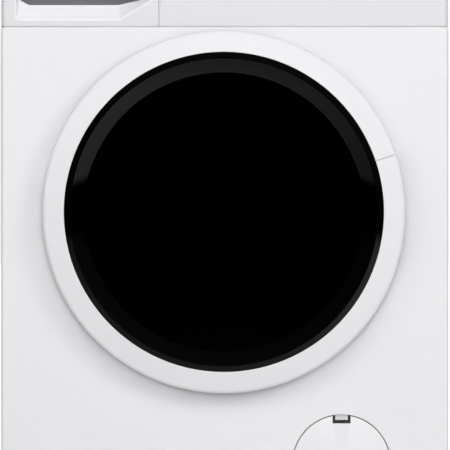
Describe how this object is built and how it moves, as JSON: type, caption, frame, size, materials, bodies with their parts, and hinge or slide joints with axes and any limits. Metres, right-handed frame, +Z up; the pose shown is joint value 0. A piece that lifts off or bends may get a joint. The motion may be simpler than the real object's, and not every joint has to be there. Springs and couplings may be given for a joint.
{
  "type": "clothes dryer",
  "caption": "Freestanding front-loading heat pump clothes dryer with a round glass door, tank drawer, control fascia, service cover and belt-driven drum.",
  "frame": {"origin": "centre of the overall footprint, on the floor under the feet", "axes": "+Z up; the front with the door faces -Y; +X to the right seen from the front"},
  "size_m": [0.597, 0.61, 0.845],
  "materials": {
    "painted_white": "gloss enamel",
    "galvanised_steel": "galvanised sheet",
    "white_laminate": "white laminate over chipboard",
    "white_plastic": "satin gloss",
    "black_glass": "opaque black gloss",
    "clear_glass": "clear",
    "black_gloss_plastic": "gloss",
    "stainless": "satin stainless",
    "grey_plastic": "moulded",
    "light_plastic": "moulded",
    "dark_plastic": "moulded",
    "tank_plastic": "natural polypropylene",
    "filter_plastic": "moulded with fine mesh",
    "felt": "felt",
    "soft_rubber": "matte",
    "black_rubber": "matte",
    "pcb": "solder mask",
    "aluminium_fins": "plain",
    "copper_tube": "copper, drawn",
    "black_enamel_iron": "black enamel",
    "zinc_steel": "zinc plated"
  },
  "bodies": {
    "cabinet": {"base_pan": "grey_plastic", "plinth": "white_plastic", "side_panel_left": "painted_white", "side_panel_right": "painted_white", "rear_panel": "galvanised_steel", "rear_duct_cover": "galvanised_steel", "worktop": "white_laminate", "front_panel": "painted_white", "control_fascia": "white_plastic", "control_board": "pcb", "display_window": "black_gloss_plastic", "tank_housing": "grey_plastic", "front_bulkhead": "light_plastic", "front_drum_seal": "felt", "air_duct": "grey_plastic", "rear_bulkhead": "galvanised_steel", "drum_bearing": "zinc_steel", "drive_belt": "black_rubber", "drive_motor": "zinc_steel", "fan_housing": "grey_plastic", "evaporator": "aluminium_fins", "condenser": "aluminium_fins", "compressor": "black_enamel_iron", "refrigerant_pipes": "copper_tube", "condensate_pump": "dark_plastic", "service_housing": "light_plastic", "hinge_bracket": "zinc_steel", "door_lock": "dark_plastic", "cable_gland": "dark_plastic", "roller_axles": "zinc_steel"},
    "drum": {"drum_shell": "stainless", "drum_back": "stainless", "drum_lifters": "grey_plastic"},
    "motor_rotor": {"motor_shaft": "zinc_steel", "fan_wheel": "dark_plastic"},
    "roller_left": {"front_roller_left": "soft_rubber"},
    "roller_right": {"front_roller_right": "soft_rubber"},
    "belt_tensioner": {"tensioner_arm": "zinc_steel"},
    "belt_idler": {"tensioner_pulley": "dark_plastic"},
    "door": {"door_ring": "white_plastic", "door_trim": "black_gloss_plastic", "door_glass": "black_glass", "door_inner_frame": "light_plastic", "door_window": "clear_glass", "door_seal": "soft_rubber", "hinge_arm": "zinc_steel", "latch_hook": "zinc_steel"},
    "handle": {"door_handle": "white_plastic"},
    "tank_drawer": {"drawer_front": "white_plastic", "water_tank": "tank_plastic"},
    "knob": {"program_knob": "white_plastic"},
    "start_key": {"start_button": "white_plastic"},
    "option": {"option_key": "white_plastic"},
    "filter": {"lint_filter": "filter_plastic"},
    "cover": {"service_cover": "painted_white"},
    "pump_filter": {"filter_knob": "dark_plastic"},
    "foot_fl": {"foot_front_left": "black_rubber"},
    "foot_fr": {"foot_front_right": "black_rubber"},
    "foot_rl": {"foot_rear_left": "black_rubber"},
    "foot_rr": {"foot_rear_right": "black_rubber"}
  },
  "joints": [
    {"name": "drum_spin", "type": "hinge", "parent": "cabinet", "child": "drum", "pos_m": [0, 0, 0.515], "axis": [0, 1, 0], "continuous": true},
    {"name": "motor_spin", "type": "hinge", "parent": "cabinet", "child": "motor_rotor", "pos_m": [0.175, 0, 0.15], "axis": [0, 1, 0], "continuous": true},
    {"name": "roller_left_spin", "type": "hinge", "parent": "cabinet", "child": "roller_left", "pos_m": [-0.15215, -0.175, 0.25147], "axis": [0, 1, 0], "continuous": true},
    {"name": "roller_right_spin", "type": "hinge", "parent": "cabinet", "child": "roller_right", "pos_m": [0.15215, -0.175, 0.25147], "axis": [0, 1, 0], "continuous": true},
    {"name": "tensioner_swing", "type": "hinge", "parent": "cabinet", "child": "belt_tensioner", "pos_m": [0.05, 0.115, 0.13], "axis": [0, 1, 0], "range_deg": [0, 6], "stiffness_Nm_per_rad": 6, "springref_deg": -17.19},
    {"name": "idler_spin", "type": "hinge", "parent": "belt_tensioner", "child": "belt_idler", "pos_m": [0.093, 0.105, 0.168], "axis": [0, 1, 0], "continuous": true},
    {"name": "door_hinge", "type": "hinge", "parent": "cabinet", "child": "door", "pos_m": [-0.231, -0.285, 0.463], "axis": [0, 0, -1], "range_deg": [0, 150]},
    {"name": "handle_pull", "type": "hinge", "parent": "door", "child": "handle", "pos_m": [0.2128, -0.303, 0.463], "axis": [0, 0, -1], "range_deg": [0, 10], "stiffness_Nm_per_rad": 2, "springref_deg": -2.86},
    {"name": "tank_slide", "type": "slide", "parent": "cabinet", "child": "tank_drawer", "axis": [0, -1, 0], "range_m": [0, 0.42]},
    {"name": "programme_turn", "type": "hinge", "parent": "cabinet", "child": "knob", "pos_m": [0.002, -0.28, 0.784], "axis": [0, 1, 0], "continuous": true},
    {"name": "start_press", "type": "slide", "parent": "cabinet", "child": "start_key", "axis": [0, 1, 0], "range_m": [0, 0.0012], "stiffness_N_per_m": 900, "springref_m": -0.0008},
    {"name": "option_press", "type": "slide", "parent": "cabinet", "child": "option", "axis": [0, 1, 0], "range_m": [0, 0.0012], "stiffness_N_per_m": 900, "springref_m": -0.0008},
    {"name": "filter_slide", "type": "slide", "parent": "cabinet", "child": "filter", "axis": [0, 0, -1], "range_m": [-0.18, 0]},
    {"name": "cover_hinge", "type": "hinge", "parent": "cabinet", "child": "cover", "pos_m": [0.156, -0.2626, 0.0515], "axis": [1, 0, 0], "range_deg": [0, 90]},
    {"name": "pump_filter_turn", "type": "hinge", "parent": "cabinet", "child": "pump_filter", "pos_m": [0.156, -0.22, 0.127], "axis": [0, 1, 0], "range_deg": [-90, 0]},
    {"name": "foot_fl_level", "type": "slide", "parent": "cabinet", "child": "foot_fl", "axis": [0, 0, 1], "range_m": [-0.012, 0]},
    {"name": "foot_fr_level", "type": "slide", "parent": "cabinet", "child": "foot_fr", "axis": [0, 0, 1], "range_m": [-0.012, 0]},
    {"name": "foot_rl_level", "type": "slide", "parent": "cabinet", "child": "foot_rl", "axis": [0, 0, 1], "range_m": [-0.012, 0]},
    {"name": "foot_rr_level", "type": "slide", "parent": "cabinet", "child": "foot_rr", "axis": [0, 0, 1], "range_m": [-0.012, 0]}
  ],
  "couplings": [
    {"joint": "motor_spin", "follows": "drum_spin", "ratio": 18.12},
    {"joint": "roller_left_spin", "follows": "drum_spin", "ratio": -7.9412},
    {"joint": "roller_right_spin", "follows": "drum_spin", "ratio": -7.9412},
    {"joint": "idler_spin", "follows": "drum_spin", "ratio": -13.938}
  ]
}
